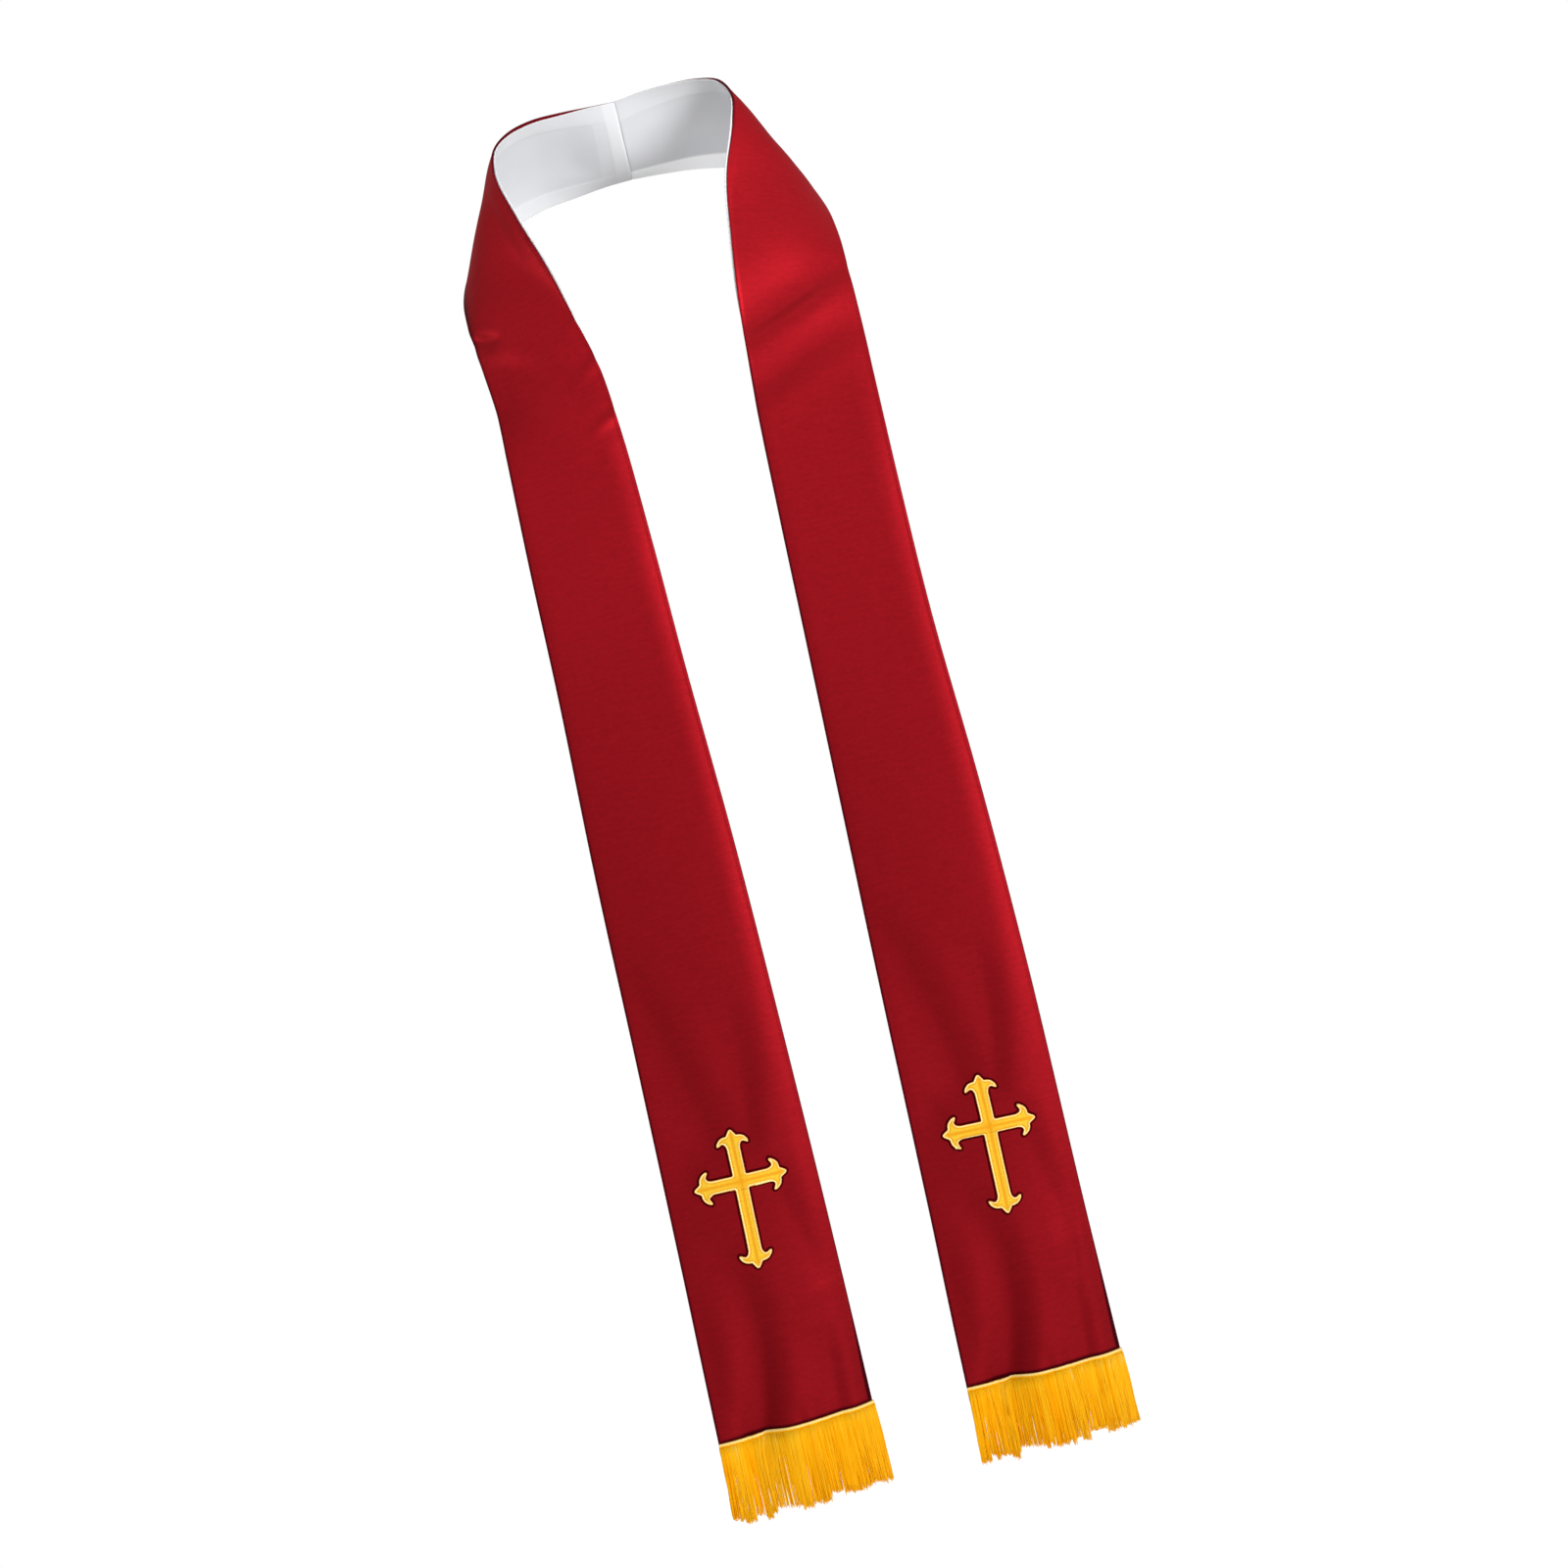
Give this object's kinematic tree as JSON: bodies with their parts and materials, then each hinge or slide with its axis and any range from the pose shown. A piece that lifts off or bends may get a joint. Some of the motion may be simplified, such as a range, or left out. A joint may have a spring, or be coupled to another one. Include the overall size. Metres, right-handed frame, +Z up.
{
  "type": "clerical stole",
  "caption": "Lined red band worn round the neck, its two hanging ends each with a gold applique cross and a gold fringe.",
  "frame": {"origin": "top of the centre-back seam, where the wearer's neck carries the stole", "axes": "+Z up; the wearer faces -Y; +X to the right as seen from the front"},
  "size_m": [0.3417, 0.2319, 1.1801],
  "materials": {
    "red_cloth": "matt satin weave",
    "white_lining": "plain matt lining",
    "gold_thread": "satin-stitched gold thread",
    "gold_fringe": "silky thread fringe"
  },
  "bodies": {
    "root": {"face_left": "red_cloth", "face_right": "red_cloth", "lining_left": "white_lining", "lining_right": "white_lining", "cross_left": "gold_thread", "cross_right": "gold_thread", "fringe_left": "gold_fringe", "fringe_right": "gold_fringe"}
  },
  "joints": []
}
